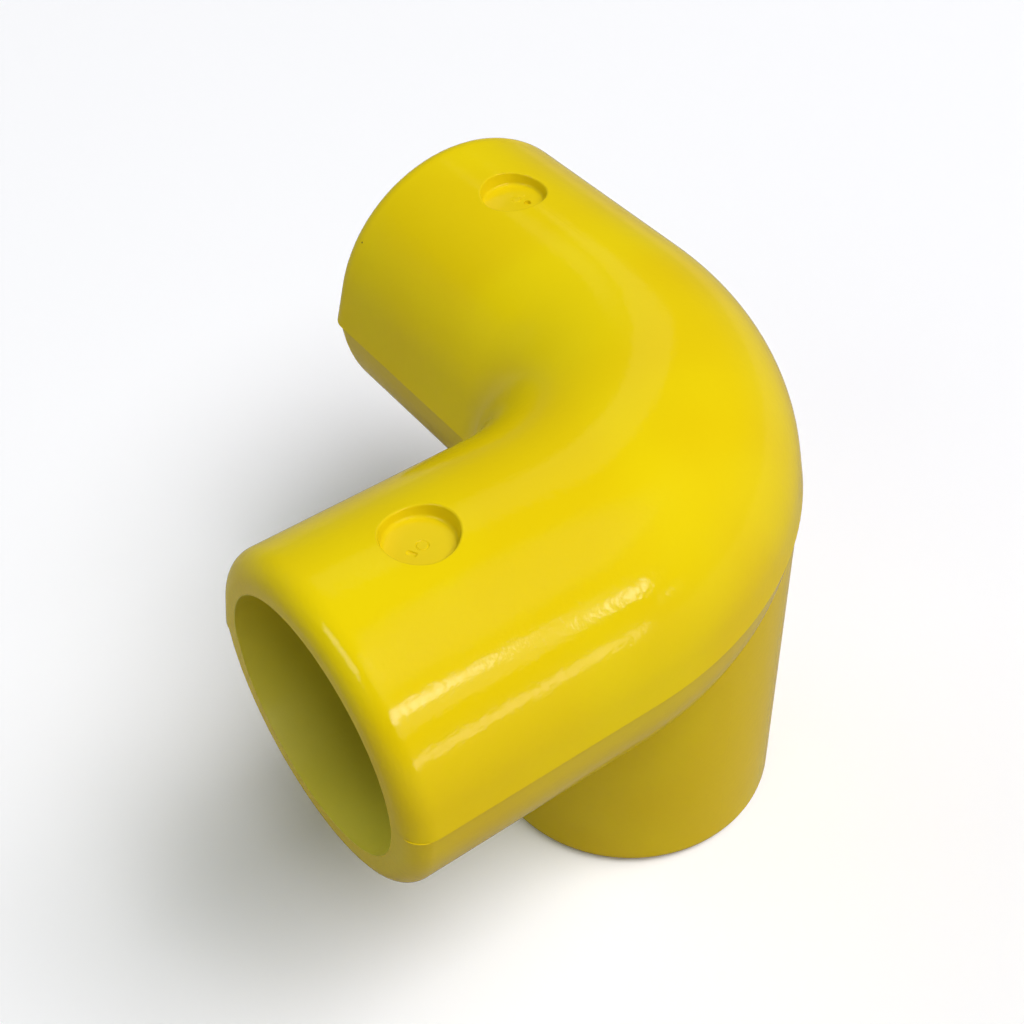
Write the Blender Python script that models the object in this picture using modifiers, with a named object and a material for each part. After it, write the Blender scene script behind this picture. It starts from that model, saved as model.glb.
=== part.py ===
"""Three-way corner connector for a handrail of round tube, moulded in one piece.

Two rail sockets lie in one plane at a right angle and are joined by a round
bend. A post socket drops from the middle of that bend. Each socket takes a
tube as far as a stop shoulder, and past the shoulders three narrower passages
meet inside the bend. A round flat-bottomed recess on each socket shows where
its fixing goes through the wall. The mould parts in the plane of the rail axes,
where the lower half of the moulding stands out from the upper half by a ledge.

The connector stands on its post rim at z = 0. The rear rail socket opens
towards +X, the front rail socket towards +Y, and the origin lies under the
middle of the outline. Lengths are in metres and angles in radians.
"""

import math

import bmesh
import bpy
from mathutils import Matrix, Vector

# Tube and sockets
TUBE_DIAMETER = 0.050
SOCKET_CLEARANCE = 0.0005
SOCKET_WALL = 0.0071
SOCKET_DEPTH = 0.050
STOP_WIDTH = 0.0055

# Lengths from the crossing of the two rail axes to the rims, and the bend's centre line
RAIL_LENGTH = 0.0978
POST_LENGTH = 0.0859
BEND_RADIUS = 0.0465

# Rounded edges
RAIL_RIM_ROUNDING = 0.0047
POST_RIM_ROUNDING = 0.0033
POST_FILLET = 0.0030

# The upper half's draft at the mould's parting plane, and the ledges of the lower half there
PARTING_DRAFT = math.radians(7.0)
INNER_LEDGE = 0.0010
OUTER_LEDGE = 0.0002

# Fixing recesses, each set back from its rim
RECESS_DIAMETER = 0.0142
RECESS_DEPTH = 0.0030
RECESS_SETBACK = 0.0255
RECESS_TAPER = math.radians(10.0)
RECESS_FILLET = 0.0008

# Facets
SECTION_STEPS = 64
BEND_STEPS = 20
ROUNDING_STEPS = 4
RECESS_STEPS = 32
RECESS_FILLET_STEPS = 2

# How far a cutter runs past the face that it enters, and how deep a joined surface is sunk
OVERRUN = 0.004
SINK = 0.001
WELD = 0.000001

# Edges that turn by more than this are shaded sharp
SHARP_EDGE = math.radians(32)

# Each tool is turned by its own share of a facet, so that no two have facets that line up
REAR_SHARE = 0.5
POST_SHARE = 0.25
RECESS_SHARE = 0.5

# Sizes that follow from the ones above
BORE_RADIUS = TUBE_DIAMETER / 2 + SOCKET_CLEARANCE
OUTER_RADIUS = BORE_RADIUS + SOCKET_WALL
PASSAGE_RADIUS = BORE_RADIUS - STOP_WIDTH
PARTING_RADIUS = OUTER_RADIUS / math.cos(PARTING_DRAFT)
POST_OFFSET = BEND_RADIUS * (1 - math.sqrt(0.5))

# The crossing of the rail axes, which puts the origin under the middle of the outline
CORNER_SHIFT = (PARTING_RADIUS + OUTER_LEDGE - RAIL_LENGTH) / 2
CORNER = Vector((CORNER_SHIFT, CORNER_SHIFT, POST_LENGTH))
BEND_CENTRE = Vector((BEND_RADIUS, BEND_RADIUS, 0))
POST_AXIS = Vector((POST_OFFSET, POST_OFFSET, 0))

YELLOW = (0.78, 0.60, 0.012, 1.0)
YELLOW_ROUGHNESS = 0.22


def clear_scene():
    """Remove every object and every collection of the open scene."""
    for item in list(bpy.data.objects):
        bpy.data.objects.remove(item)
    for group in list(bpy.data.collections):
        bpy.data.collections.remove(group)


def new_collection(name):
    """Add a collection to the scene."""
    group = bpy.data.collections.new(name)
    bpy.context.scene.collection.children.link(group)
    return group


def new_object(name, data, group):
    """Add an object that holds the mesh or curve to a collection."""
    item = bpy.data.objects.new(name, data)
    group.objects.link(item)
    return item


def arc(centre_across, centre_up, radius, start, end, steps):
    """Return the points of an arc as (across, up) pairs."""
    angles = [start + (end - start) * step / steps for step in range(steps + 1)]
    return [
        (centre_across + radius * math.cos(angle), centre_up + radius * math.sin(angle))
        for angle in angles
    ]


def facing(origin, direction):
    """Return the matrix that puts a shape's own +Z along a direction from a point."""
    turn = Vector(direction).to_track_quat("Z", "Y").to_matrix().to_4x4()
    return Matrix.Translation(origin) @ turn


def section_quarter(parting_radius):
    """Return a quarter of the section: a drafted flat from the parting plane, then the round."""
    draft = math.acos(OUTER_RADIUS / parting_radius)
    round_steps = SECTION_STEPS // 4 - 1
    return [(parting_radius, 0.0)] + arc(0, 0, OUTER_RADIUS, draft, math.pi / 2, round_steps)


def section_points():
    """Return the rails' section, with the outside of the bend at +X and the ledges at the parting plane."""
    upper = section_quarter(PARTING_RADIUS)
    lower_outer = section_quarter(PARTING_RADIUS + OUTER_LEDGE)
    lower_inner = section_quarter(PARTING_RADIUS + INNER_LEDGE)
    points = upper + [(-across, up) for across, up in reversed(upper[:-1])]
    points += [(-across, -up) for across, up in lower_inner]
    points += [(across, -up) for across, up in reversed(lower_outer[:-1])]
    return points


def rim_points():
    """Return (depth behind the rim, share of the full section) pairs along a rail's rounded rim."""
    rounding = arc(
        OUTER_RADIUS - RAIL_RIM_ROUNDING,
        RAIL_RIM_ROUNDING,
        RAIL_RIM_ROUNDING,
        -math.pi / 2,
        0,
        ROUNDING_STEPS,
    )
    return [(depth, across / OUTER_RADIUS) for across, depth in rounding]


def centre_line_points():
    """Return (point, share of the full section) pairs from the front rim round the bend to the rear rim."""
    rim = rim_points()
    points = [(Vector((0, RAIL_LENGTH - depth, 0)), share) for depth, share in rim]
    for step in range(BEND_STEPS + 1):
        angle = math.pi + math.pi / 2 * step / BEND_STEPS
        points.append((BEND_CENTRE + BEND_RADIUS * Vector((math.cos(angle), math.sin(angle), 0)), 1.0))
    points += [(Vector((RAIL_LENGTH - depth, 0, 0)), share) for depth, share in reversed(rim)]
    return points


def poly_curve(name, points, shares, cyclic):
    """Make a curve of one straight-edged spline, with the share of the section at each point."""
    curve = bpy.data.curves.new(name, "CURVE")
    curve.dimensions = "3D"
    spline = curve.splines.new("POLY")
    spline.points.add(len(points) - 1)
    for target, point, share in zip(spline.points, points, shares):
        target.co = (*point, 1.0)
        target.radius = share
    spline.use_cyclic_u = cyclic
    return curve


def sweep_rails(group):
    """Sweep the section along the centre line, drawn in at both ends to the rounded rims."""
    outline = [(across, up, 0) for across, up in section_points()]
    section_curve = poly_curve("rail_section", outline, [1.0] * len(outline), True)
    section_curve.dimensions = "2D"
    section = new_object("rail_section", section_curve, group)
    points, shares = zip(*centre_line_points())
    path_curve = poly_curve("rail_path", points, shares, False)
    path_curve.twist_mode = "Z_UP"
    path_curve.bevel_mode = "OBJECT"
    path_curve.bevel_object = section
    path = new_object("rail_path", path_curve, group)

    depsgraph = bpy.context.evaluated_depsgraph_get()
    mesh = bpy.data.meshes.new_from_object(path.evaluated_get(depsgraph))
    mesh.name = "connector_body"
    shape = bmesh.new()
    shape.from_mesh(mesh)
    bmesh.ops.holes_fill(shape, edges=shape.edges)
    bmesh.ops.recalc_face_normals(shape, faces=shape.faces)
    shape.to_mesh(mesh)
    shape.free()
    bpy.data.objects.remove(path)
    bpy.data.objects.remove(section)

    body = new_object("connector_body", mesh, group)
    body.matrix_world = Matrix.Translation(CORNER)
    return body


def nearest_on_centre_line(point):
    """Return the point of the rails' centre line that lies nearest to a point."""
    if point.x > BEND_RADIUS or point.y > BEND_RADIUS:
        return Vector((point.x, 0, 0)) if point.x > point.y else Vector((0, point.y, 0))
    outward = Vector((point.x, point.y, 0)) - BEND_CENTRE
    return BEND_CENTRE + outward.normalized() * BEND_RADIUS


def post_column(azimuth):
    """Return one upright line of points on the post, from its rim to its seat in the bend.

    Near the bend the line follows a ball that rolls along the joint and touches
    both the post and the underside of the bend, which gives an even fillet.
    """
    outward = Vector((math.cos(azimuth), math.sin(azimuth), 0))
    foot = arc(
        OUTER_RADIUS - POST_RIM_ROUNDING,
        POST_RIM_ROUNDING - POST_LENGTH,
        POST_RIM_ROUNDING,
        -math.pi / 2,
        0,
        ROUNDING_STEPS,
    )
    column = [POST_AXIS + outward * across + Vector((0, 0, up)) for across, up in foot]

    reach = OUTER_RADIUS + POST_FILLET
    plan = POST_AXIS + outward * reach
    nearest = nearest_on_centre_line(plan)
    drop = math.sqrt(max(reach**2 - (plan - nearest).length_squared, 0))
    ball = plan - Vector((0, 0, drop))
    to_rail = (nearest - ball).normalized()
    for step in range(ROUNDING_STEPS + 1):
        toward = (-outward).slerp(to_rail, step / ROUNDING_STEPS)
        column.append(ball + toward * POST_FILLET)
    column.append(ball + to_rail * (POST_FILLET + SINK))
    return column


def loft_post(group):
    """Loft the post socket's outside from its upright lines and close both ends."""
    turn = 2 * math.pi / SECTION_STEPS
    columns = [post_column((step + 0.5) * turn) for step in range(SECTION_STEPS)]
    shape = bmesh.new()
    lines = [[shape.verts.new(point) for point in column] for column in columns]
    seat = shape.verts.new(POST_AXIS)
    for line, following in zip(lines, lines[1:] + lines[:1]):
        for low, high, next_low, next_high in zip(line, line[1:], following, following[1:]):
            shape.faces.new((low, next_low, next_high, high))
        shape.faces.new((line[-1], following[-1], seat))
    shape.faces.new([line[0] for line in reversed(lines)])
    bmesh.ops.recalc_face_normals(shape, faces=shape.faces)
    mesh = bpy.data.meshes.new("post_outside")
    shape.to_mesh(mesh)
    shape.free()
    post = new_object("post_outside", mesh, group)
    post.matrix_world = Matrix.Translation(CORNER)
    return post


def turned(name, profile, steps, share, place, group):
    """Turn an (across, up) profile, listed from top to bottom, about its own upright axis.

    The first facet starts at a share of a facet from the profile's own plane.
    """
    mesh = bpy.data.meshes.new(name)
    edges = [(index, index + 1) for index in range(len(profile) - 1)]
    mesh.from_pydata([(across, 0, up) for across, up in profile], edges, [])
    item = new_object(name, mesh, group)
    item.matrix_world = place @ Matrix.Rotation(share * 2 * math.pi / steps, 4, "Z")
    screw = item.modifiers.new("turn", "SCREW")
    screw.steps = steps
    screw.render_steps = steps
    screw.use_merge_vertices = True
    screw.merge_threshold = WELD
    return item


def rail_core_depth():
    """Return how deep a rail's passage runs with the full wall left outside it in the bend."""
    reach = BEND_RADIUS + OUTER_RADIUS - SOCKET_WALL - PASSAGE_RADIUS
    return RAIL_LENGTH - BEND_RADIUS + math.sqrt(reach**2 - BEND_RADIUS**2)


def socket_cutter(name, mouth, direction, core_depth, share, group):
    """Make the hollow of one socket: the tube's bore, the stop shoulder and a ball-nosed passage."""
    bore_side = [(0, OVERRUN), (BORE_RADIUS, OVERRUN), (BORE_RADIUS, -SOCKET_DEPTH)]
    nose_depth = max(core_depth, SOCKET_DEPTH + OVERRUN)
    nose = arc(0, -nose_depth, PASSAGE_RADIUS, 0, -math.pi / 2, 2 * ROUNDING_STEPS)
    profile = bore_side + [(PASSAGE_RADIUS, -SOCKET_DEPTH)] + nose[:-1] + [(0, -nose_depth - PASSAGE_RADIUS)]
    return turned(name, profile, SECTION_STEPS, share, facing(CORNER + mouth, direction), group)


def recess_cutter(name, surface, direction, group):
    """Make the tool for a tapered, flat-bottomed recess with a small fillet round its floor."""
    slope = math.tan(RECESS_TAPER)
    mouth_radius = RECESS_DIAMETER / 2
    fillet_up = RECESS_FILLET - RECESS_DEPTH
    fillet_across = mouth_radius + fillet_up * slope - RECESS_FILLET / math.cos(RECESS_TAPER)
    top = [(0, OVERRUN), (mouth_radius + OVERRUN * slope, OVERRUN)]
    fillet = arc(
        fillet_across,
        fillet_up,
        RECESS_FILLET,
        -RECESS_TAPER,
        -math.pi / 2,
        RECESS_FILLET_STEPS,
    )
    profile = top + fillet + [(0, -RECESS_DEPTH)]
    return turned(name, profile, RECESS_STEPS, RECESS_SHARE, facing(CORNER + surface, direction), group)


def sharp_edge_nodes():
    """Build the node group that keeps an edge sharp where its faces meet at a clear angle."""
    tree = bpy.data.node_groups.new("sharp_edges", "GeometryNodeTree")
    tree.interface.new_socket("Geometry", in_out="INPUT", socket_type="NodeSocketGeometry")
    tree.interface.new_socket("Geometry", in_out="OUTPUT", socket_type="NodeSocketGeometry")
    start = tree.nodes.new("NodeGroupInput")
    end = tree.nodes.new("NodeGroupOutput")
    angle = tree.nodes.new("GeometryNodeInputMeshEdgeAngle")
    gentle = tree.nodes.new("FunctionNodeCompare")
    gentle.operation = "LESS_THAN"
    gentle.inputs["B"].default_value = SHARP_EDGE
    shade = tree.nodes.new("GeometryNodeSetShadeSmooth")
    shade.domain = "EDGE"
    tree.links.new(start.outputs[0], shade.inputs["Geometry"])
    tree.links.new(angle.outputs["Unsigned Angle"], gentle.inputs["A"])
    tree.links.new(gentle.outputs["Result"], shade.inputs["Shade Smooth"])
    tree.links.new(shade.outputs["Geometry"], end.inputs[0])
    return tree


def moulding_material():
    """Return the glossy yellow of the moulding."""
    material = bpy.data.materials.new("yellow_moulding")
    material.use_nodes = True
    shader = material.node_tree.nodes["Principled BSDF"]
    shader.inputs["Base Color"].default_value = YELLOW
    shader.inputs["Roughness"].default_value = YELLOW_ROUGHNESS
    shader.inputs["Metallic"].default_value = 0.0
    return material


def combine(body, tool, operation):
    """Join a tool to the body or cut the body with it, and hide the tool."""
    step = body.modifiers.new(tool.name, "BOOLEAN")
    step.operation = operation
    step.solver = "EXACT"
    step.object = tool
    tool.hide_render = True
    tool.display_type = "WIRE"


def main():
    """Build the connector."""
    clear_scene()
    parts = new_collection("handrail_connector")
    cutters = new_collection("cutters")

    body = sweep_rails(parts)
    combine(body, loft_post(cutters), "UNION")

    front = Vector((0, 1, 0))
    rear = Vector((1, 0, 0))
    up = Vector((0, 0, 1))
    rail_depth = rail_core_depth()
    post_foot = POST_AXIS - up * POST_LENGTH
    sockets = [
        socket_cutter("front_rail_socket", front * RAIL_LENGTH, front, rail_depth, 0, cutters),
        socket_cutter("rear_rail_socket", rear * RAIL_LENGTH, rear, rail_depth, REAR_SHARE, cutters),
        socket_cutter("post_socket", post_foot, -up, POST_LENGTH, POST_SHARE, cutters),
    ]
    rail_recess = RAIL_LENGTH - RECESS_SETBACK
    recesses = [
        recess_cutter("front_rail_recess", front * rail_recess + up * OUTER_RADIUS, up, cutters),
        recess_cutter("rear_rail_recess", rear * rail_recess + up * OUTER_RADIUS, up, cutters),
        recess_cutter("post_recess", post_foot + up * RECESS_SETBACK - front * OUTER_RADIUS, -front, cutters),
    ]
    for tool in sockets + recesses:
        combine(body, tool, "DIFFERENCE")

    edges = body.modifiers.new("sharp_edges", "NODES")
    edges.node_group = sharp_edge_nodes()
    body.data.shade_smooth()
    body.data.materials.clear()
    body.data.materials.append(moulding_material())


main()
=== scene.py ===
"""Looks of the three-way handrail connector: moulded body, finish, studio and camera.

The connector is one glossy yellow moulding. Its outside is a section swept round
the bend with a post socket below it, and its hollows and recesses are cut by
tools. Geometry Nodes sweep the section, join and cut the shapes, and carry the
true normals of the skin through the cuts, so that the gloss stays even.

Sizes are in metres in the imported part's frame: the rear rail socket opens
towards +X, the front one towards +Y, and the post stands on z = 0.
"""

import logging
import math
from dataclasses import dataclass, field
from enum import Enum

import bmesh
import bpy
import numpy as np
from mathutils import Matrix, Vector


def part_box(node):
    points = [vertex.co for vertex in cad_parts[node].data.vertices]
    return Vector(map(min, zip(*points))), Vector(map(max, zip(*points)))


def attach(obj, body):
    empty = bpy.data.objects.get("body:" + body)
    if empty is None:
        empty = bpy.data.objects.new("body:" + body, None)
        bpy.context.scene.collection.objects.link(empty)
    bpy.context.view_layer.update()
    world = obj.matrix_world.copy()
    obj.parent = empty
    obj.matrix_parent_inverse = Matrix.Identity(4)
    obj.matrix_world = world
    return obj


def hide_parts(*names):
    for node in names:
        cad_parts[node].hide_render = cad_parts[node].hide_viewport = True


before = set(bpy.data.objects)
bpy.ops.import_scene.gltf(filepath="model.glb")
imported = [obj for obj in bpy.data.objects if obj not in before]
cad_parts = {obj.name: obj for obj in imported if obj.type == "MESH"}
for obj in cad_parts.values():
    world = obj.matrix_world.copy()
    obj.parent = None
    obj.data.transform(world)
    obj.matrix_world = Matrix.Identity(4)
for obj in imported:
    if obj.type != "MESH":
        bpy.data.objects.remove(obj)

LOG = logging.getLogger("handrail_connector")
MM = 0.001
BODY_NODE = "connector_body"

Column = list[Vector]
Pair = tuple[float, float]
Outline = list[Pair]
Item = bpy.types.Object
Mesh = bpy.types.Mesh
Tree = bpy.types.NodeTree
Socket = bpy.types.NodeSocket


@dataclass(frozen=True)
class Layout:
    """Driving sizes of the moulding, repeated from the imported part.

    Points of the layout are measured from the crossing of the two rail axes.
    """

    bore_radius: float = 25.5 * MM
    outer_radius: float = 32.6 * MM
    passage_radius: float = 20.0 * MM
    socket_depth: float = 50.0 * MM
    rail_length: float = 97.8 * MM
    post_length: float = 85.9 * MM
    bend_radius: float = 46.5 * MM
    parting_draft: float = math.radians(7.0)
    recess_setback: float = 25.5 * MM

    @property
    def corner(self) -> Vector:
        """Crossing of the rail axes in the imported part's frame."""
        _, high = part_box(BODY_NODE)
        return Vector((high.x - self.rail_length, high.y - self.rail_length, self.post_length))

    @property
    def bend_centre(self) -> Vector:
        """Centre of the bend's arc."""
        return Vector((self.bend_radius, self.bend_radius, 0))

    @property
    def post_axis(self) -> Vector:
        """Point where the post's axis meets the plane of the rails."""
        offset = self.bend_radius * (1 - math.sqrt(0.5))
        return Vector((offset, offset, 0))

    @property
    def parting_radius(self) -> float:
        """Half width of the section at the parting plane, without a ledge."""
        return self.outer_radius / math.cos(self.parting_draft)


class End(Enum):
    """The three open ends of the connector."""

    FRONT_RAIL = "front_rail"
    REAR_RAIL = "rear_rail"
    POST = "post"

    @property
    def direction(self) -> Vector:
        """Direction in which the socket opens."""
        return {
            End.FRONT_RAIL: Vector((0, 1, 0)),
            End.REAR_RAIL: Vector((1, 0, 0)),
            End.POST: Vector((0, 0, -1)),
        }[self]

    def mouth(self, layout: Layout) -> Vector:
        """Centre of the socket's rim."""
        if self is End.POST:
            return layout.post_axis + self.direction * layout.post_length
        return self.direction * layout.rail_length


def arc(centre: Pair, radius: float, start: float, end: float, steps: int) -> Outline:
    """Return the points of an arc.

    Args:
        centre: Centre of the arc as (across, up).
        radius: Radius of the arc.
        start: First angle in radians.
        end: Last angle in radians.
        steps: Number of steps from the first angle to the last.

    Returns:
        Points as (across, up) pairs.
    """
    angles = [start + (end - start) * step / steps for step in range(steps + 1)]
    return [(centre[0] + radius * math.cos(a), centre[1] + radius * math.sin(a)) for a in angles]


def around(steps: int, share: float = 0.5) -> list[float]:
    """Return the angles of a round shape's columns, turned by a share of one step."""
    turn = 2 * math.pi / steps
    return [(step + share) * turn for step in range(steps)]


def spoke(angle: float) -> Vector:
    """Return the level unit vector at an angle from +X, in radians."""
    return Vector((math.cos(angle), math.sin(angle), 0))


def facing(origin: Vector, direction: Vector) -> Matrix:
    """Return the matrix that puts a shape's own +Z along a direction from a point."""
    return Matrix.Translation(origin) @ direction.to_track_quat("Z", "Y").to_matrix().to_4x4()


def add_node(
    tree: Tree, kind: str, inputs: dict | None = None, **settings: object
) -> bpy.types.Node:
    """Add a node to a tree, with its settings and links.

    Args:
        tree: Tree of geometry or shader nodes.
        kind: Type name of the node.
        inputs: For each input's name or index, a value or the output that feeds it.
        settings: Properties of the node.

    Returns:
        The new node.
    """
    node = tree.nodes.new(kind)
    for name, value in settings.items():
        setattr(node, name, value)
    for key, value in (inputs or {}).items():
        if isinstance(value, Socket):
            tree.links.new(value, node.inputs[key])
        else:
            node.inputs[key].default_value = value
    return node


def output(tree: Tree, kind: str, inputs: dict | None = None, **settings: object) -> Socket:
    """Add a node and return the first output that its settings leave in use."""
    node = add_node(tree, kind, inputs, **settings)
    return next(socket for socket in node.outputs if socket.enabled)


def named(tree: Tree, name: str, kind: str = "FLOAT") -> Socket:
    """Return a value that is stored on a shape."""
    return output(tree, "GeometryNodeInputNamedAttribute", {"Name": name}, data_type=kind)


def shape_of(tree: Tree, item: Socket) -> Socket:
    """Return the geometry of an object that is fed to a tree."""
    return add_node(tree, "GeometryNodeObjectInfo", {"Object": item}).outputs["Geometry"]


def maths(tree: Tree, operation: str, *parts: object, clamp: bool = False) -> Socket:
    """Add one step of arithmetic on numbers or outputs and return its result."""
    given = dict(enumerate(parts))
    return output(tree, "ShaderNodeMath", given, operation=operation, use_clamp=clamp)


def vector_maths(tree: Tree, operation: str, first: Socket, second: Socket) -> Socket:
    """Add, subtract or scale a vector and return the result."""
    inputs = {0: first, "Scale" if operation == "SCALE" else 1: second}
    return output(tree, "ShaderNodeVectorMath", inputs, operation=operation)


def mix(tree: Tree, share: Socket, first: object, second: object) -> Socket:
    """Mix two colours by a share of the second and return the mixed colour."""
    inputs = {"Factor": share, "A": first, "B": second}
    return output(tree, "ShaderNodeMix", inputs, data_type="RGBA")


def ramp(tree: Tree, value: Socket, *limits: float) -> Socket:
    """Carry a value smoothly from the range of the first two limits to that of the last two."""
    inputs = dict(zip(("Value", "From Min", "From Max", "To Min", "To Max"), (value, *limits)))
    return output(tree, "ShaderNodeMapRange", inputs, interpolation_type="SMOOTHSTEP")


def new_tree(name: str, inputs: dict[str, str]) -> tuple[Tree, bpy.types.NodeOutputs]:
    """Start a Geometry Nodes tree with named inputs and one geometry output.

    Args:
        name: Name of the tree.
        inputs: For each input's name, the type name of its socket.

    Returns:
        The tree and the outputs that give its inputs.
    """
    tree = bpy.data.node_groups.new(name, "GeometryNodeTree")
    for label, kind in inputs.items():
        tree.interface.new_socket(label, in_out="INPUT", socket_type=kind)
    tree.interface.new_socket("Geometry", in_out="OUTPUT", socket_type="NodeSocketGeometry")
    return tree, tree.nodes.new("NodeGroupInput").outputs


def apply_tree(item: Item, tree: Tree, values: dict[str, object]) -> None:
    """Run a tree on an object and keep the result as the object's plain mesh.

    Args:
        item: Object whose mesh the tree starts from.
        tree: Geometry Nodes tree.
        values: Value of each named input.
    """
    step = item.modifiers.new(tree.name, "NODES")
    step.node_group = tree
    for socket in tree.interface.items_tree:
        if socket.in_out == "INPUT" and socket.name in values:
            step[socket.identifier] = values[socket.name]
    depsgraph = bpy.context.evaluated_depsgraph_get()
    depsgraph.update()
    mesh = bpy.data.meshes.new_from_object(item.evaluated_get(depsgraph))
    item.modifiers.remove(step)
    item.data = mesh
    mesh.name = item.name


def new_object(name: str, data: bpy.types.ID) -> Item:
    """Add an object that holds a mesh, a lamp or a camera to the scene."""
    item = bpy.data.objects.new(name, data)
    bpy.context.scene.collection.objects.link(item)
    return item


def line_mesh(name: str, points: list[Vector], closed: bool, values: dict[str, list]) -> Mesh:
    """Make a line of edges that carries values at its points.

    Args:
        name: Name of the mesh.
        points: Points of the line in order.
        closed: Whether the last point joins the first.
        values: For each attribute's name, one number or vector for each point.

    Returns:
        The mesh.
    """
    count = len(points)
    edges = [(index, (index + 1) % count) for index in range(count if closed else count - 1)]
    mesh = bpy.data.meshes.new(name)
    mesh.from_pydata(points, edges, [])
    for label, items in values.items():
        is_vector = isinstance(items[0], Vector)
        store = mesh.attributes.new(label, "FLOAT_VECTOR" if is_vector else "FLOAT", "POINT")
        flat = [part for item in items for part in item] if is_vector else items
        store.data.foreach_set("vector" if is_vector else "value", flat)
    return mesh


def loft(name: str, columns: list[Column], top: Vector | None, bottom: Vector | None) -> Item:
    """Join columns of points that stand round an axis to one closed skin.

    Args:
        name: Name of the object.
        columns: Columns of points from bottom to top, all of one length.
        top: Point that closes the top, or None to close each column on itself as a ring.
        bottom: Point that closes the bottom, or None for one flat face below a closed top.

    Returns:
        The new object.
    """
    shape = bmesh.new()
    lines = [[shape.verts.new(point) for point in column] for column in columns]
    peak = shape.verts.new(top) if top is not None else None
    base = shape.verts.new(bottom) if bottom is not None else None
    for line, following in zip(lines, lines[1:] + lines[:1]):
        for low, high, next_low, next_high in zip(line, line[1:], following, following[1:]):
            shape.faces.new((low, next_low, next_high, high))
        if peak is None:
            shape.faces.new((line[-1], following[-1], following[0], line[0]))
            continue
        shape.faces.new((line[-1], following[-1], peak))
        if base is not None:
            shape.faces.new((following[0], line[0], base))
    if peak is not None and base is None:
        shape.faces.new([line[0] for line in reversed(lines)])
    bmesh.ops.recalc_face_normals(shape, faces=shape.faces)
    mesh = bpy.data.meshes.new(name)
    shape.to_mesh(mesh)
    shape.free()
    return new_object(name, mesh)


def mark_creases(mesh: Mesh, limit: float) -> None:
    """Mark as sharp each edge where the stored normals of its two faces differ.

    Args:
        mesh: Closed mesh with free corner normals.
        limit: Largest angle between two normals of a smooth edge, in radians.
    """
    count = len(mesh.loops)
    normals = np.zeros(count * 3)
    mesh.corner_normals.foreach_get("vector", normals)
    normals = normals.reshape(-1, 3)
    edges = np.zeros(count, int)
    mesh.loops.foreach_get("edge_index", edges)
    starts = np.zeros(len(mesh.polygons), int)
    mesh.polygons.foreach_get("loop_start", starts)
    following = np.arange(count) + 1
    following[np.append(starts[1:], count) - 1] = starts
    first, second = np.argsort(edges, kind="stable").reshape(-1, 2).T
    near = (normals[first] * normals[following[second]]).sum(1)
    far = (normals[following[first]] * normals[second]).sum(1)
    sharp = np.zeros(len(mesh.edges), bool)
    sharp[edges[first]] = np.minimum(near, far) < math.cos(limit)
    store = mesh.attributes.get("sharp_edge")
    if store is None:
        store = mesh.attributes.new("sharp_edge", "BOOLEAN", "EDGE")
    store.data.foreach_set("value", sharp)
    mesh.update()


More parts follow.
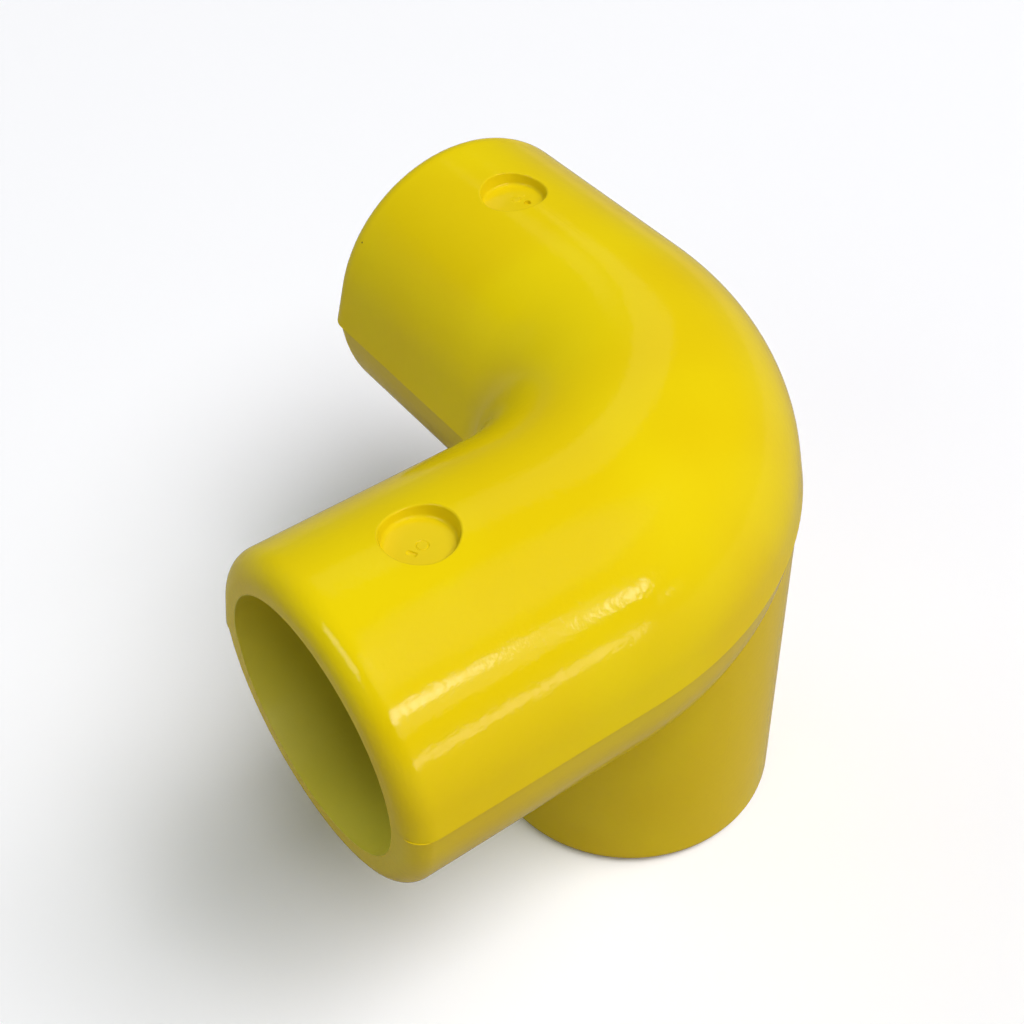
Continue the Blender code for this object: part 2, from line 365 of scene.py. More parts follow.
@dataclass
class RailRun:
    """The two rail sockets and the bend between them: one section swept along one path.

    The mould parts in the plane of the axes. The lower half stands out from the
    upper half there by a ledge, and its rims are rounder and stand a little proud.
    """

    layout: Layout
    upper_rounding: float = 4.3 * MM
    lower_rounding: float = 5.2 * MM
    upper_set_back: float = 0.15 * MM
    inner_ledge: float = 1.0 * MM
    outer_ledge: float = 0.2 * MM
    ledge_edge: float = 0.12 * MM
    quarter_steps: int = 48
    draft_steps: int = 4
    bend_steps: int = 72
    rounding_steps: int = 12
    rim_spacing: float = 0.1 * MM
    rim_clearance: float = 0.6 * MM

    def quarter(self, ledge: float) -> Outline:
        """Return a quarter of the section from the parting plane to the crown.

        Args:
            ledge: How far the quarter stands out at the parting plane.

        Returns:
            Points as (across, up) pairs: the ledge's edge, the drafted flat and the round.
        """
        radius = self.layout.outer_radius
        reach = self.layout.parting_radius + ledge
        draft = math.acos(radius / reach)
        edge = min(self.ledge_edge, ledge / 2)
        flat_end = Vector((radius * math.cos(draft), radius * math.sin(draft)))
        tip = Vector((reach, 0))
        flat_start = tip.lerp(flat_end, edge / (tip - flat_end).length)
        start = [(reach - edge, 0.0)] if edge else []
        steps = range(self.draft_steps)
        flat = [tuple(flat_start.lerp(flat_end, step / self.draft_steps)) for step in steps]
        return start + flat + arc((0, 0), radius, draft, math.pi / 2, self.quarter_steps)

    def section(self) -> Mesh:
        """Make the section, with the outside of the bend at +X and each half's rim values."""
        upper = self.quarter(0)
        outer = self.quarter(self.outer_ledge)
        inner = self.quarter(self.inner_ledge)
        above = upper + [(-across, up) for across, up in reversed(upper[:-1])]
        below = [(-across, -up) for across, up in inner]
        below += [(across, -up) for across, up in reversed(outer[:-1])]
        points = [Vector((across, up, 0)) for across, up in above + below]
        rounding = [self.upper_rounding] * len(above) + [self.lower_rounding] * len(below)
        set_back = [self.upper_set_back] * len(above) + [0.0] * len(below)
        return line_mesh("rail_section", points, True, {"rounding": rounding, "set_back": set_back})

    def path(self) -> Mesh:
        """Make the path from the front rim round the bend to the rear rim.

        Near a rim the points only carry the turn of its rounding, from inside the
        bore (-90 degrees) over the rim's flat (0) to the socket's side (90 degrees).
        """
        layout = self.layout
        full = math.pi / 2
        turns = [full * step / self.rounding_steps for step in range(self.rounding_steps + 1)]
        rows: list[tuple[Vector, Vector, Vector, float]] = []
        for end in (End.FRONT_RAIL, End.REAR_RAIL):
            mouth, out = end.mouth(layout), end.direction
            rim = [
                (mouth - out * self.rim_spacing * step, mouth, out, turn)
                for step, turn in enumerate([-full, *turns])
            ]
            side = mouth - out * (self.lower_rounding + self.rim_clearance)
            leg = rim + [(side, side, Vector(), full)]
            if end is End.FRONT_RAIL:
                rows += leg
                for step in range(self.bend_steps + 1):
                    away = spoke(math.pi + full * step / self.bend_steps)
                    point = layout.bend_centre + away * layout.bend_radius
                    rows.append((point, point, Vector(), full))
            else:
                rows += reversed(leg)
        points, stations, outs, shares = (list(column) for column in zip(*rows))
        values = {"station": stations, "rim_out": outs, "rim_turn": shares}
        return line_mesh("rail_path", points, False, values)

    def tree(self) -> Tree:
        """Build the tree that sweeps the section along the path and rounds both rims."""
        kinds = {"Path": "NodeSocketObject", "Section": "NodeSocketObject"}
        tree, given = new_tree("rail_sweep", kinds | {"Outer Radius": "NodeSocketFloat"})
        path, section = (
            output(tree, "GeometryNodeMeshToCurve", {"Mesh": shape_of(tree, given[label])})
            for label in kinds
        )
        place = output(tree, "GeometryNodeInputPosition")
        stored = {"Geometry": path, "Name": "swept_from", "Value": place}
        path = output(tree, "GeometryNodeStoreNamedAttribute", stored, data_type="FLOAT_VECTOR")
        path = output(tree, "GeometryNodeSetCurveNormal", {"Curve": path}, mode="Z_UP")
        lines = {"Curve": path, "Profile Curve": section, "Fill Caps": True}
        swept = output(tree, "GeometryNodeCurveToMesh", lines)

        # A rim's rounding: the share of the section that is kept, and how far it falls back
        turn, rounding = named(tree, "rim_turn"), named(tree, "rounding")
        narrower = maths(tree, "SUBTRACT", 1.0, maths(tree, "SINE", turn))
        drawn_in = maths(tree, "MULTIPLY", rounding, narrower)
        lost = maths(tree, "DIVIDE", drawn_in, given["Outer Radius"])
        kept = maths(tree, "SUBTRACT", 1.0, lost)
        level = maths(tree, "COSINE", maths(tree, "MAXIMUM", turn, 0.0))
        fallen = maths(tree, "MULTIPLY", rounding, maths(tree, "SUBTRACT", 1.0, level))
        fallen = maths(tree, "ADD", fallen, named(tree, "set_back"))
        back = maths(tree, "MULTIPLY", fallen, -1.0)
        centre, out, station = (
            named(tree, name, "FLOAT_VECTOR") for name in ("swept_from", "rim_out", "station")
        )
        offset = vector_maths(tree, "SUBTRACT", place, centre)
        across = vector_maths(tree, "SCALE", offset, kept)
        inward = vector_maths(tree, "SCALE", out, back)
        centred = vector_maths(tree, "ADD", station, across)
        moved = {"Geometry": swept, "Position": vector_maths(tree, "ADD", centred, inward)}
        result = output(tree, "GeometryNodeSetPosition", moved)
        for name in ("swept_from", "station", "rim_out", "rim_turn", "rounding", "set_back"):
            inputs = {"Geometry": result, "Name": name}
            result = output(tree, "GeometryNodeRemoveAttribute", inputs)
        add_node(tree, "NodeGroupOutput", {"Geometry": result})
        return tree

    def build(self) -> Item:
        """Return the swept rails."""
        path = new_object("rail_path", self.path())
        section = new_object("rail_section", self.section())
        rails = new_object("rail_run", bpy.data.meshes.new("rail_run"))
        values = {"Path": path, "Section": section, "Outer Radius": self.layout.outer_radius}
        apply_tree(rails, self.tree(), values)
        for helper in (path, section):
            bpy.data.objects.remove(helper)
        return rails


@dataclass
class PostSocket:
    """The post socket's outside, lofted up into the underside of the bend."""

    layout: Layout
    rounding: float = 3.3 * MM
    fillet: float = 3.0 * MM
    sink: float = 1.0 * MM
    steps: int = 192
    rounding_steps: int = 12

    def nearest_on_axis(self, point: Vector) -> Vector:
        """Return the point of the rails' axis that lies nearest to a point."""
        reach = self.layout.bend_radius
        if point.x > reach or point.y > reach:
            return Vector((point.x, 0, 0)) if point.x > point.y else Vector((0, point.y, 0))
        outward = Vector((point.x, point.y, 0)) - self.layout.bend_centre
        return self.layout.bend_centre + outward.normalized() * reach

    def column(self, azimuth: float) -> Column:
        """Return one upright line of points, from the rim to the seat in the bend.

        A ball rolls along the joint and touches the post and the bend's underside,
        so the fillet between them has one radius all the way round.

        Args:
            azimuth: Direction of the line from the post's axis, in radians.

        Returns:
            The points from bottom to top.
        """
        layout = self.layout
        outward = spoke(azimuth)
        centre = (layout.outer_radius - self.rounding, self.rounding - layout.post_length)
        foot = arc(centre, self.rounding, -math.pi / 2, 0, self.rounding_steps)
        column = [layout.post_axis + outward * across + Vector((0, 0, up)) for across, up in foot]
        reach = layout.outer_radius + self.fillet
        plan = layout.post_axis + outward * reach
        nearest = self.nearest_on_axis(plan)
        ball = plan - Vector((0, 0, math.sqrt(max(reach**2 - (plan - nearest).length_squared, 0))))
        to_rail = (nearest - ball).normalized()
        for step in range(self.rounding_steps + 1):
            toward = (-outward).slerp(to_rail, step / self.rounding_steps)
            column.append(ball + toward * self.fillet)
        column.append(ball + to_rail * (self.fillet + self.sink))
        return column

    def build(self) -> Item:
        """Return the post's closed outside."""
        columns = [self.column(azimuth) for azimuth in around(self.steps)]
        return loft("post_outside", columns, self.layout.post_axis, None)


@dataclass
class SocketHollow:
    """The hollow of one socket: tube bore, stop shoulder and ball-nosed passage.

    Its facets are turned by a share of one facet, so that no two hollows have
    facets in one plane.
    """

    layout: Layout
    end: End
    share: float
    mouth_edge: float = 0.25 * MM
    mouth_overturn: float = 0.1
    overrun: float = 4.0 * MM
    steps: int = 160
    edge_steps: int = 3
    nose_steps: int = 24

    @property
    def core_depth(self) -> float:
        """Depth of the passage's nose, which keeps the full wall outside it."""
        layout = self.layout
        if self.end is End.POST:
            return layout.post_length
        reach = layout.bend_radius + layout.bore_radius - layout.passage_radius
        return layout.rail_length - layout.bend_radius + math.sqrt(reach**2 - layout.bend_radius**2)

    def profile(self) -> Outline:
        """Return the half profile from bottom to top as (across, up) pairs."""
        layout = self.layout
        edge = self.mouth_edge
        nose = arc((0, -self.core_depth), layout.passage_radius, -math.pi / 2, 0, self.nose_steps)
        last = math.pi / 2 + self.mouth_overturn
        mouth = arc((layout.bore_radius + edge, -edge), edge, math.pi, last, self.edge_steps)
        stop = -layout.socket_depth
        side = [(layout.passage_radius, stop), (layout.bore_radius, stop)]
        return nose[1:] + side + mouth + [(mouth[-1][0], self.overrun)]

    def build(self) -> Item:
        """Return the tool that cuts the hollow."""
        place = facing(self.end.mouth(self.layout), self.end.direction)
        profile = self.profile()
        columns = [
            [place @ (spoke(angle) * across + Vector((0, 0, up))) for across, up in profile]
            for angle in around(self.steps, self.share)
        ]
        nose = place @ Vector((0, 0, -self.core_depth - self.layout.passage_radius))
        return loft(f"{self.end.value}_hollow", columns, place @ Vector((0, 0, self.overrun)), nose)


@dataclass
class FixingRecess:
    """A tapered, flat-bottomed recess that shows where a socket's fixing goes through the wall."""

    layout: Layout
    end: End
    outward: Vector
    mouth_radius: float = 7.1 * MM
    depth: float = 3.0 * MM
    taper: float = math.radians(10.0)
    floor_fillet: float = 0.8 * MM
    lip: float = 0.4 * MM
    lip_end: float = math.radians(4.0)
    lip_flare: Pair = (0.05 * MM, 0.3 * MM)
    overrun: float = 4.0 * MM
    steps: int = 128
    fillet_steps: int = 6
    lip_steps: int = 6
    edge_rounds: int = 4

    @property
    def place(self) -> Matrix:
        """Matrix from the recess's own frame, with +X along the socket and +Z out of the wall."""
        layout = self.layout
        along = -self.end.direction
        origin = self.end.mouth(layout) + along * layout.recess_setback
        origin += self.outward * layout.outer_radius
        side = self.outward.cross(along)
        turn = Matrix((along, side, self.outward)).transposed().to_4x4()
        return Matrix.Translation(origin) @ turn

    def column(self, azimuth: float) -> Column:
        """Return the points of one upright line of the tool, from the floor up.

        Args:
            azimuth: Direction of the line from the recess's axis, in radians.

        Returns:
            Points in the recess's own frame.
        """
        slope = math.tan(self.taper)
        away = spoke(azimuth)
        radius = self.layout.outer_radius

        def wall(up: float) -> float:
            """Return the wall's distance from the recess's axis at a height."""
            return self.mouth_radius + up * slope

        def skin(across: float) -> float:
            """Return the height of the socket's round outside at a distance from the axis."""
            return math.sqrt(radius**2 - (across * away.y) ** 2) - radius

        fillet_up = self.floor_fillet - self.depth
        fillet_across = wall(fillet_up) - self.floor_fillet / math.cos(self.taper)
        fillet = (fillet_across, fillet_up)
        floor = arc(fillet, self.floor_fillet, -math.pi / 2, -self.taper, self.fillet_steps)

        # The wall meets the round outside, with a small rounding between them
        edge_up = skin(wall(0))
        for _ in range(self.edge_rounds):
            edge_up = skin(wall(edge_up))
        fall = math.atan2(skin(wall(edge_up)) - skin(wall(edge_up) - self.lip), self.lip)
        skin_normal = Vector((-math.sin(fall), math.cos(fall)))
        wall_normal = Vector((-math.cos(self.taper), math.sin(self.taper)))
        corner = Vector((wall(edge_up), edge_up))
        spread = 1 + skin_normal.dot(wall_normal)
        centre = corner - (skin_normal + wall_normal) * self.lip / spread
        start = math.atan2(wall_normal.y, wall_normal.x)
        end = math.atan2(skin_normal.y, skin_normal.x) + self.lip_end
        lip = arc((centre.x, centre.y), self.lip, start, end, self.lip_steps)
        flare_out = lip[-1][0] + self.lip_flare[0]
        flare_up = lip[-1][1] + self.lip_flare[1]
        rows = floor + lip + [(flare_out, flare_up), (flare_out, self.overrun)]
        return [away * across + Vector((0, 0, up)) for across, up in rows]

    def build(self) -> Item:
        """Return the tool that cuts the recess."""
        place = self.place
        columns = [[place @ point for point in self.column(angle)] for angle in around(self.steps)]
        top = place @ Vector((0, 0, self.overrun))
        bottom = place @ Vector((0, 0, -self.depth))
        return loft(f"{self.end.value}_recess", columns, top, bottom)


@dataclass(frozen=True)
class FloorMark:
    """One small mark sunk into a recess's floor, such as the ring that a mould pin leaves.

    Its place is measured from the floor's middle, along the socket and across it.
    A ring has a core, which is the share of its size that stays standing.
    """

    name: str
    recess: FixingRecess
    along: float
    across: float
    length: float
    width: float
    depth: float
    core: float = 0.0
    squareness: float = 2.0
    turn: float = 0.0
    proud: float = 0.02 * MM
    overrun: float = 0.5 * MM
    steps: int = 40
    rows: int = 8

    @property
    def middle(self) -> Vector:
        """Middle of the mark in the recess's own frame."""
        return Vector((self.along, self.across, -self.recess.depth))

    def reach(self, azimuth: float) -> float:
        """Return the outline's distance from the mark's middle, an ellipse or a rounded box."""
        power = self.squareness
        long = abs(math.cos(azimuth) / (self.length / 2)) ** power
        short = abs(math.sin(azimuth) / (self.width / 2)) ** power
        return (long + short) ** (-1 / power)

    def dip(self, share: float) -> float:
        """Return how deep the mark is, from 0 to 1, at a share of the way out to its edge."""
        if self.core:
            return math.sin(math.pi * (share - self.core) / (1 - self.core))
        return math.cos(math.pi / 2 * share**2)

    def column(self, azimuth: float) -> Column:
        """Return the points of one line of the tool, outwards along the dip and then upwards.

        Args:
            azimuth: Direction of the line from the mark's middle, in radians.

        Returns:
            Points in the recess's own frame.
        """
        middle = self.middle
        edge = spoke(azimuth + self.turn) * self.reach(azimuth)
        ring = 1 - self.core
        first = 0 if self.core else 1
        shares = [self.core + ring * row / self.rows for row in range(first, self.rows + 1)]
        fall = self.depth + self.proud
        column = [
            middle + edge * share + Vector((0, 0, self.proud - fall * self.dip(share)))
            for share in shares
        ]
        above = middle + Vector((0, 0, self.overrun))
        column.append(above + edge)
        if self.core:
            column.append(above + edge * self.core)
        return column

    def build(self) -> Item:
        """Return the tool that cuts the mark."""
        place = self.recess.place
        columns = [[place @ point for point in self.column(angle)] for angle in around(self.steps)]
        top = bottom = None
        if not self.core:
            top = place @ (self.middle + Vector((0, 0, self.overrun)))
            bottom = place @ (self.middle - Vector((0, 0, self.depth)))
        return loft(self.name, columns, top, bottom)


class Surface(Enum):
    """Which part of the moulding's skin a face belongs to, as the finish reads it."""

    OUTSIDE = 0.0
    HOLLOW = 1.0
    RECESS = 0.5


@dataclass
class Connector:
    """The whole moulding: rails and post joined, then hollows and recesses cut out."""

    layout: Layout
    material: bpy.types.Material
    sharp_edge: float = math.radians(28)
    crease: float = math.radians(0.5)
    hollows: list[SocketHollow] = field(init=False)
    recesses: list[FixingRecess] = field(init=False)
    marks: list[FloorMark] = field(init=False)

    def __post_init__(self) -> None:
        """Set up the tools that cut."""
        layout = self.layout
        shares = {End.FRONT_RAIL: 0.0, End.REAR_RAIL: 0.5, End.POST: 0.25}
        self.hollows = [SocketHollow(layout, end, share) for end, share in shares.items()]
        up = Vector((0, 0, 1))
        sides = {End.FRONT_RAIL: up, End.REAR_RAIL: up, End.POST: Vector((0, -1, 0))}
        self.recesses = [FixingRecess(layout, end, side) for end, side in sides.items()]
        front, rear, _ = self.recesses
        ring = {"core": 0.7}
        stamp = {"squareness": 6.0, "turn": math.radians(30)}
        rows = (
            ("front_pin_ring", front, 0.1, -0.5, 2.5, 2.5, 0.15, ring),
            ("front_stamp", front, -2.4, -1.0, 1.1, 2.1, 0.4, stamp),
            ("rear_pin_ring", rear, -0.45, 1.0, 2.3, 2.3, 0.1, ring),
            ("rear_pit", rear, 1.9, 2.2, 1.5, 1.5, 1.1, {}),
            ("rear_spot", rear, -0.3, 3.0, 0.6, 0.8, 0.1, {}),
        )
        self.marks = [
            FloorMark(name, recess, *(size * MM for size in sizes), **form)
            for name, recess, *sizes, form in rows
        ]

    def skin_tree(self) -> Tree:
        """Build the tree that stores a shape's normals and kind of surface on its corners."""
        kinds = {"Shape": "NodeSocketObject"}
        numbers = dict.fromkeys(("Sharp Edge", "Facing", "Surface"), "NodeSocketFloat")
        tree, given = new_tree("store_skin", kinds | numbers)
        angle = output(tree, "GeometryNodeInputMeshEdgeAngle")
        limits = {"A": angle, "B": given["Sharp Edge"]}
        gentle = output(tree, "FunctionNodeCompare", limits, operation="LESS_THAN")
        stored = shape_of(tree, given["Shape"])
        for domain, smooth in {"FACE": True, "EDGE": gentle}.items():
            inputs = {"Geometry": stored, "Shade Smooth": smooth}
            stored = output(tree, "GeometryNodeSetShadeSmooth", inputs, domain=domain)
        normal = output(tree, "GeometryNodeInputNormal")
        turned = vector_maths(tree, "SCALE", normal, given["Facing"])
        kept = {"skin_normal": ("FLOAT_VECTOR", turned), "surface": ("FLOAT", given["Surface"])}
        for name, (kind, value) in kept.items():
            inputs = {"Geometry": stored, "Name": name, "Value": value}
            settings = {"data_type": kind, "domain": "CORNER"}
            stored = output(tree, "GeometryNodeStoreNamedAttribute", inputs, **settings)
        add_node(tree, "NodeGroupOutput", {"Geometry": stored})
        return tree

    def moulding_tree(self, joined: list[str], cut: dict[str, Surface]) -> Tree:
        """Build the tree that joins and cuts the shapes and restores their skin normals.

        Args:
            joined: Names of the shapes that are joined.
            cut: Name of each tool, with the kind of surface that it leaves.

        Returns:
            The tree, with one named input for each shape.
        """
        kinds = dict.fromkeys([*joined, *cut], "NodeSocketObject")
        kinds |= {"Sharp Edge": "NodeSocketFloat", "Material": "NodeSocketMaterial"}
        tree, given = new_tree("moulding", kinds)
        skin = self.skin_tree()

        def stored(name: str, way: float, surface: Surface) -> Socket:
            """Return one shape with its skin stored."""
            values = {"Shape": given[name], "Sharp Edge": given["Sharp Edge"]}
            values |= {"Facing": way, "Surface": surface.value}
            return output(tree, "GeometryNodeGroup", values, node_tree=skin)

        def boolean(operation: str, inputs: dict, shapes: list[Socket]) -> Socket:
            """Return what joining or cutting with several shapes gives."""
            settings = {"operation": operation, "solver": "MANIFOLD"}
            node = add_node(tree, "GeometryNodeMeshBoolean", inputs, **settings)
            for shape in shapes:
                tree.links.new(shape, node.inputs["Mesh 2"])
            return node.outputs["Mesh"]

        whole = boolean("UNION", {}, [stored(name, 1.0, Surface.OUTSIDE) for name in joined])
        tools = [stored(name, -1.0, surface) for name, surface in cut.items()]
        body = boolean("DIFFERENCE", {"Mesh 1": whole}, tools)

        # The cuts keep the values stored on the corners, and those normals shade the skin again
        inputs = {"Geometry": body, "Shade Smooth": True}
        smooth = output(tree, "GeometryNodeSetShadeSmooth", inputs, domain="FACE")
        inputs = {"Mesh": smooth, "Custom Normal": named(tree, "skin_normal", "FLOAT_VECTOR")}
        settings = {"mode": "FREE", "domain": "CORNER"}
        restored = output(tree, "GeometryNodeSetMeshNormal", inputs, **settings)
        inputs = {"Geometry": restored, "Name": "skin_normal"}
        clean = output(tree, "GeometryNodeRemoveAttribute", inputs)
        real = output(tree, "GeometryNodeRealizeInstances", {"Geometry": clean})
        inputs = {"Geometry": real, "Material": given["Material"]}
        dressed = output(tree, "GeometryNodeSetMaterial", inputs)
        add_node(tree, "NodeGroupOutput", {"Geometry": dressed})
        return tree

    def build(self) -> None:
        """Build the moulding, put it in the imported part's frame and hand it to the frame."""
        joined = [RailRun(self.layout).build(), PostSocket(self.layout).build()]
        cut = {tool.build(): Surface.HOLLOW for tool in self.hollows}
        cut |= {tool.build(): Surface.RECESS for tool in [*self.recesses, *self.marks]}
        shapes = [*joined, *cut]
        for shape in shapes:
            LOG.info("%s: %d faces", shape.name, len(shape.data.polygons))
        surfaces = {tool.name: surface for tool, surface in cut.items()}
        tree = self.moulding_tree([shape.name for shape in joined], surfaces)
        values = {shape.name: shape for shape in shapes}
        values |= {"Sharp Edge": self.sharp_edge, "Material": self.material}
        moulding = new_object("connector_moulding", bpy.data.meshes.new("connector_moulding"))
        apply_tree(moulding, tree, values)
        moulding.data.transform(Matrix.Translation(self.layout.corner))
        mark_creases(moulding.data, self.crease)
        for shape in shapes:
            bpy.data.objects.remove(shape)
        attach(moulding, "root")
        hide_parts(BODY_NODE)
        LOG.info("%s: %d faces", moulding.name, len(moulding.data.polygons))


def linear(code: str) -> tuple[float, float, float, float]:
    """Return the linear colour of an sRGB hex code such as "f0d020"."""
    parts = [int(code[start : start + 2], 16) / 255 for start in (0, 2, 4)]
    red, green, blue = (
        part / 12.92 if part <= 0.04045 else ((part + 0.055) / 1.055) ** 2.4 for part in parts
    )
    return red, green, blue, 1.0


@dataclass(frozen=True)
class SkinLine:
    """A fine straight line that the melt or the mould leaves on the skin.

    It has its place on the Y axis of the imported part's frame. Each limit is an axis,
    a comparison and a value, and the line lies where all its limits hold.
    """

    place: float
    limits: tuple[tuple[str, str, float], ...]
    width: float = 0.25 * MM
    height: float = 0.012 * MM


@dataclass(frozen=True)
class GlassFilledNylon:
    """Glass-filled nylon 6, injection moulded in a polished mould and dyed signal yellow."""

    layout: Layout
    colour: str = "edd606"
    deep_colour: str = "e9ce05"
    speck_colour: str = "5e4a12"
    # Painted shade: the duller, greener yellow that stands in for the cool shade inside the bores
    hollow_shade_colour: str = "e2d84c"
    # Painted shade: the darker yellow that stands in for the shade inside the fixing recesses
    recess_shade_colour: str = "e6cd0e"
    roughness: float = 0.11
    hollow_roughness: float = 0.34
    ior: float = 1.40
    flow_width: float = 34.0 * MM
    flow_limits: Pair = (0.35, 0.65)
    ripple_width: float = 1.6 * MM
    ripple_height: float = 0.035 * MM
    fibre_width: float = 0.8 * MM
    fibre_height: float = 0.010 * MM
    fibre_limits: Pair = (0.3, 0.7)
    roughness_spread: float = 0.03
    speck_spacing: float = 13.0 * MM
    speck_radius: float = 0.28 * MM
    speck_core: float = 0.5
    speck_share: float = 0.22
    hollow_limits: Pair = (0.6, 0.9)
    recess_limits: Pair = (0.1, 0.3)

    @property
    def lines(self) -> tuple[SkinLine, ...]:
        """Weld line on the rear socket's crown and the mould's seam on the post."""
        corner = self.layout.corner
        weld = (
            ("X", "GREATER_THAN", corner.x + 50 * MM),
            ("X", "LESS_THAN", corner.x + 66 * MM),
            ("Z", "GREATER_THAN", corner.z + 20 * MM),
        )
        seam = (
            ("Z", "GREATER_THAN", corner.z - 84 * MM),
            ("Z", "LESS_THAN", corner.z - 26 * MM),
            ("X", "LESS_THAN", corner.x),
        )
        return SkinLine(corner.y - 1.1 * MM, weld), SkinLine(corner.y + 13.6 * MM, seam)

    def material(self) -> bpy.types.Material:
        """Return the finish."""
        # Nylon 6 with short glass fibre: opaque and glossy, because the melt copies the polished
        # mould. The skin sinks and swells a little, which frays the edges of the reflections.
        material = bpy.data.materials.new("glass_filled_nylon_yellow")
        material.use_nodes = True
        tree = material.node_tree
        shader = tree.nodes["Principled BSDF"]
        shader.inputs["IOR"].default_value = self.ior
        where = add_node(tree, "ShaderNodeTexCoord").outputs["Object"]
        moved = {"Vector": where, "Location": -self.layout.corner}
        centred = output(tree, "ShaderNodeMapping", moved)

        def grain(width: float, detail: float) -> Socket:
            """Return a noise whose bumps have a real width."""
            inputs = {"Vector": centred, "Scale": 1 / width, "Detail": detail, "Roughness": 0.5}
            return output(tree, "ShaderNodeTexNoise", inputs)

        # The dye is a little deeper where the melt flowed last
        flow = ramp(tree, grain(self.flow_width, 1.0), *self.flow_limits, 0.0, 1.0)
        colour = mix(tree, flow, linear(self.colour), linear(self.deep_colour))

        # A few specks of burnt melt, each in its own cell
        cell = {"Vector": centred, "Scale": 1 / self.speck_spacing}
        cells = add_node(tree, "ShaderNodeTexVoronoi", cell).outputs
        chosen = output(tree, "ShaderNodeSeparateColor", {"Color": cells["Color"]})
        radius = self.speck_radius / self.speck_spacing
        near = ramp(tree, cells["Distance"], self.speck_core * radius, radius, 1.0, 0.0)
        speck = maths(tree, "MULTIPLY", near, maths(tree, "LESS_THAN", chosen, self.speck_share))

        # Painted shade: the bores get a duller, greener yellow that stands in for the cool shade
        # inside them, and the recesses a darker yellow that stands in for the shade in them
        surface = add_node(tree, "ShaderNodeAttribute", attribute_name="surface").outputs["Fac"]
        # Share of painted shade on the bores' faces
        hollow_shade = ramp(tree, surface, *self.hollow_limits, 0.0, 1.0)
        # Share of painted shade on the recesses' faces
        away = maths(tree, "ABSOLUTE", maths(tree, "SUBTRACT", surface, Surface.RECESS.value))
        recess_shade = ramp(tree, away, *self.recess_limits, 1.0, 0.0)
        for share, code in (
            (speck, self.speck_colour),
            (hollow_shade, self.hollow_shade_colour),
            (recess_shade, self.recess_shade_colour),
        ):
            colour = mix(tree, share, colour, linear(code))
        tree.links.new(colour, shader.inputs["Base Color"])

        # The mould's cores aren't polished, so the bores are duller than the outside
        fibres = grain(self.fibre_width, 2.0)
        spread = self.roughness_spread
        fine = ramp(tree, fibres, *self.fibre_limits, -spread, spread)
        dull = ramp(tree, surface, *self.hollow_limits, self.roughness, self.hollow_roughness)
        tree.links.new(maths(tree, "ADD", dull, fine), shader.inputs["Roughness"])

        # Ripples of the skin, grain of the fibres and the two lines, added up as one height
        height = maths(tree, "MULTIPLY", grain(self.ripple_width, 2.0), self.ripple_height)
        height = maths(tree, "MULTIPLY_ADD", fibres, self.fibre_height, height)
        axes = add_node(tree, "ShaderNodeSeparateXYZ", {"Vector": where}).outputs
        for line in self.lines:
            off = maths(tree, "ABSOLUTE", maths(tree, "SUBTRACT", axes["Y"], line.place))
            ridge = ramp(tree, off, 0.0, line.width, line.height, 0.0)
            for axis, test, limit in line.limits:
                there = maths(tree, test, axes[axis], limit)
                ridge = maths(tree, "MULTIPLY", ridge, there)
            height = maths(tree, "ADD", height, ridge)
        bump = {"Height": height, "Distance": 1.0, "Strength": 1.0}
        tree.links.new(output(tree, "ShaderNodeBump", bump), shader.inputs["Normal"])
        return material


def toward(azimuth: float, elevation: float) -> Vector:
    """Return the direction at an azimuth from +X and an elevation, both in degrees."""
    turn, rise = math.radians(azimuth), math.radians(elevation)
    level = math.cos(rise)
    return Vector((math.cos(turn) * level, math.sin(turn) * level, math.sin(rise)))


@dataclass(frozen=True)
class Panel:
    """One soft lamp: a glowing panel, as wide and high as the connector sees it, in degrees."""

    name: str
    azimuth: float
    elevation: float
    width: float
    height: float
    strength: float
    colour: str = "ffffff"
    shape: str = "RECTANGLE"
    distance: float = 8.0

    def build(self, target: Vector, mirrored: bool) -> None:
        """Add the lamp, turned towards a point.

        Args:
            target: Point that it faces.
            mirrored: Whether the gloss mirrors it, or else it lights the surfaces.
        """
        data = bpy.data.lights.new(self.name, "AREA")
        data.shape = self.shape
        data.size, data.size_y = (
            2 * math.tan(math.radians(angle) / 2) * self.distance
            for angle in (self.width, self.height)
        )
        data.energy = math.pi * data.size * data.size_y * self.strength
        data.color = linear(self.colour)[:3]
        lamp = new_object(self.name, data)
        lamp.visible_glossy = mirrored
        lamp.visible_diffuse = not mirrored
        direction = toward(self.azimuth, self.elevation)
        lamp.matrix_world = facing(target + direction * self.distance, direction)


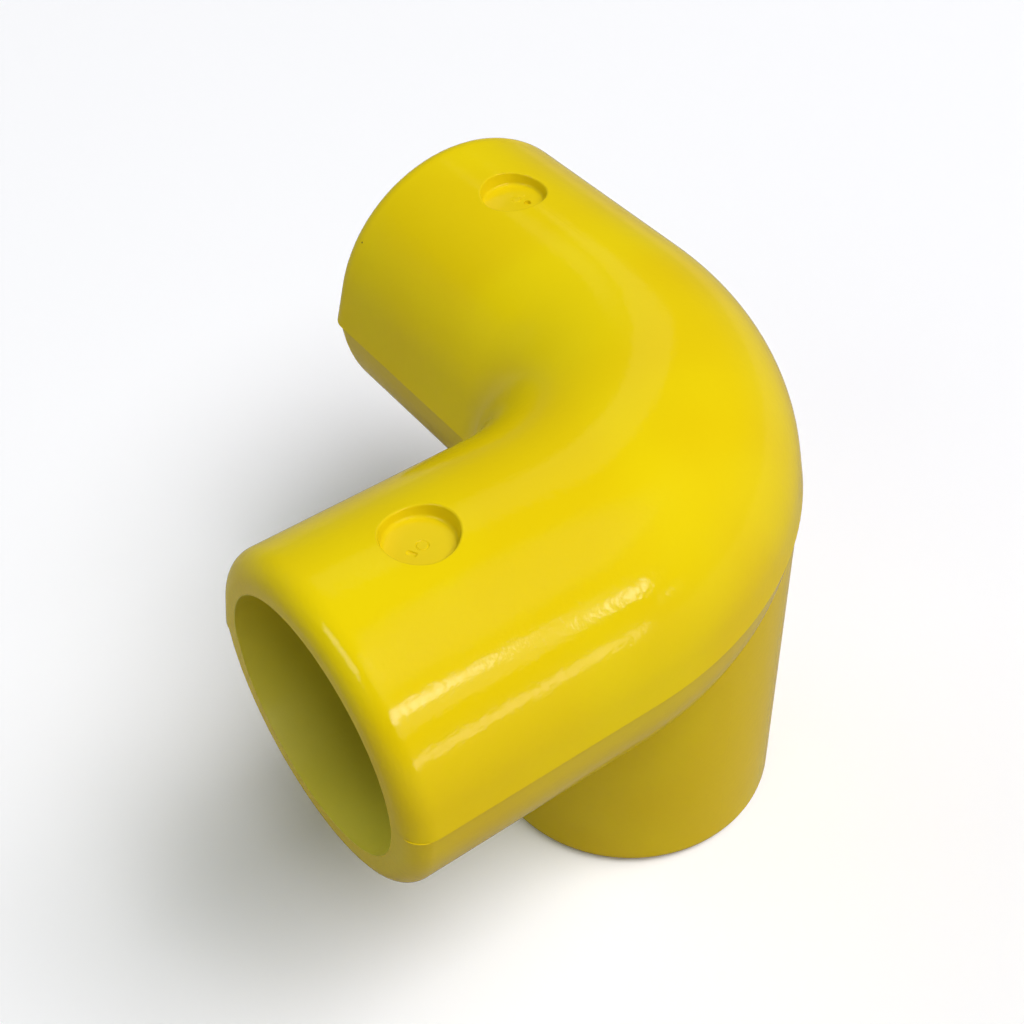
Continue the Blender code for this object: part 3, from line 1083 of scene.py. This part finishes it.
@dataclass
class Studio:
    """Pale floor, soft light and the camera at the photograph's viewing angle.

    A lamp is either mirrored in the gloss or lights the surfaces, so that each can
    follow the photograph. The camera's place, in millimetres, is measured from the
    crossing of the rail axes.
    """

    layout: Layout
    lens: float = 58.0
    sensor: float = 36.0
    roll: float = math.radians(-2.055)
    camera_place: tuple[float, float, float] = (-169.01, 170.25, 226.50)
    camera_ahead: tuple[float, float, float] = (0.58836739, -0.40700453, -0.69869245)
    floor_half: float = 4.0
    floor_seen: str = "fafdff"
    floor_bounce: str = "a89c70"
    floor_lift: float = 0.025
    floor_roughness: float = 0.9
    target_height: float = 0.07
    backdrop_heights: Pair = (0.0, 0.3)
    backdrop_top: float = 0.35
    gloss_share: float = 0.1
    ambient: float = 0.03
    mirrored: tuple[Panel, ...] = (
        Panel("window_left", 184.4, 34.4, 34.4, 5.6, 8, "fffdf8"),
        Panel("window_left_sill", 187, 28, 40, 13, 1, "fffaf2"),
        Panel("window_far_left", 210.9, 24, 5.2, 6.8, 7.5, "fffdf8", shape="ELLIPSE"),
        Panel("low_strip", 191, 2.8, 32, 5.6, 4.2, "ffe9cf"),
        Panel("low_glint", 216.3, 10.6, 3, 3, 3, "fff4e4", shape="ELLIPSE"),
        Panel("window_right", 91, 46, 34, 16, 2.8, "fafdff"),
        Panel("far_door", 313, 45, 18, 28, 0.32),
        Panel("far_door_leaf", 333, 47, 10, 14, 0.27),
    )
    lighting: tuple[Panel, ...] = (
        Panel("key_left", 180, 60, 30, 30, 5.7, "fffdff"),
        Panel("key_right", 225, 60, 30, 30, 5.7, "fff9fb"),
        Panel("fill_far", 240, 35, 36, 36, 0.5, "fff4ff"),
        Panel("fill_low_left", 198, 7, 46, 13, 0.6, "fff0ff"),
        Panel("fill_low_right", 246, 9, 30, 16, 1, "fff0ff"),
        Panel("fill_back", 5, 35, 36, 36, 0.45),
        Panel("fill_low", 36, 16, 45, 28, 1.5, "f4fff4"),
        Panel("fill_front", 100, 32, 44, 28, 0.75, "eeffec"),
    )

    def seen(self, tree: Tree) -> Socket:
        """Return how much of the white background a ray shows.

        A straight ray or one through glass shows all of it. A mirrored one shows a share,
        because the gloss of the real connector mirrors a duller table.
        """
        path = add_node(tree, "ShaderNodeLightPath").outputs
        mirrored, straight = path["Is Glossy Ray"], path["Is Camera Ray"]
        shown = maths(tree, "MULTIPLY_ADD", mirrored, self.gloss_share, straight)
        return maths(tree, "ADD", shown, path["Is Transmission Ray"], clamp=True)

    def floor(self) -> None:
        """Add the pale floor, which looks white where no shadow falls on it."""
        half = self.floor_half
        corners = [(-half, -half, 0), (half, -half, 0), (half, half, 0), (-half, half, 0)]
        mesh = bpy.data.meshes.new("studio_floor")
        mesh.from_pydata(corners, [], [(0, 1, 2, 3)])
        floor = new_object("studio_floor", mesh)

        # Matt white paper, which has no gloss of its own
        material = bpy.data.materials.new("studio_paper")
        material.use_nodes = True
        tree = material.node_tree
        shader = tree.nodes["Principled BSDF"].inputs
        shader["Roughness"].default_value = self.floor_roughness
        shader["Specular IOR Level"].default_value = 0.0
        shader["Emission Color"].default_value = linear("ffffff")
        seen = self.seen(tree)
        paper = mix(tree, seen, linear(self.floor_bounce), linear(self.floor_seen))
        tree.links.new(paper, shader["Base Color"])
        lift = maths(tree, "MULTIPLY", seen, self.floor_lift)
        tree.links.new(lift, shader["Emission Strength"])
        mesh.materials.append(material)

    def camera(self) -> None:
        """Add the camera, placed as the photograph shows the connector."""
        data = bpy.data.cameras.new("photo_camera")
        data.lens = self.lens
        data.sensor_width = self.sensor
        data.clip_start = 0.01
        camera = new_object("photo_camera", data)
        place = self.layout.corner + Vector(self.camera_place) * MM
        ahead = Vector(self.camera_ahead).normalized()
        level = ahead.cross(Vector((0, 0, 1))).normalized()
        right = Matrix.Rotation(self.roll, 3, -ahead) @ level
        turn = Matrix((right, right.cross(ahead), -ahead)).transposed().to_4x4()
        camera.matrix_world = Matrix.Translation(place) @ turn
        bpy.context.scene.camera = camera

    def world(self) -> None:
        """Set the room: little light of its own, and a backdrop that is white at the horizon."""
        world = bpy.data.worlds.new("soft_room")
        bpy.context.scene.world = world
        world.use_nodes = True
        tree = world.node_tree
        direction = add_node(tree, "ShaderNodeTexCoord").outputs["Generated"]
        height = add_node(tree, "ShaderNodeSeparateXYZ", {"Vector": direction}).outputs["Z"]
        backdrop = ramp(tree, height, *self.backdrop_heights, 1.0, self.backdrop_top)
        shown = {"Factor": self.seen(tree), "A": self.ambient, "B": backdrop}
        strength = output(tree, "ShaderNodeMix", shown, data_type="FLOAT")
        background = tree.nodes["Background"]
        background.inputs["Color"].default_value = linear("ffffff")
        tree.links.new(strength, background.inputs["Strength"])

    def build(self) -> None:
        """Set up the studio."""
        self.floor()
        self.camera()
        target = Vector((0, 0, self.target_height))
        for panels, mirrored in ((self.mirrored, True), (self.lighting, False)):
            for panel in panels:
                panel.build(target, mirrored)
        self.world()
        bpy.context.scene.view_settings.view_transform = "Standard"


def main() -> None:
    """Build the connector and its studio."""
    logging.basicConfig(level=logging.INFO, format="%(message)s")
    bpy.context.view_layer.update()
    layout = Layout()
    Connector(layout, GlassFilledNylon(layout).material()).build()
    Studio(layout).build()


if __name__ == "__main__":
    main()
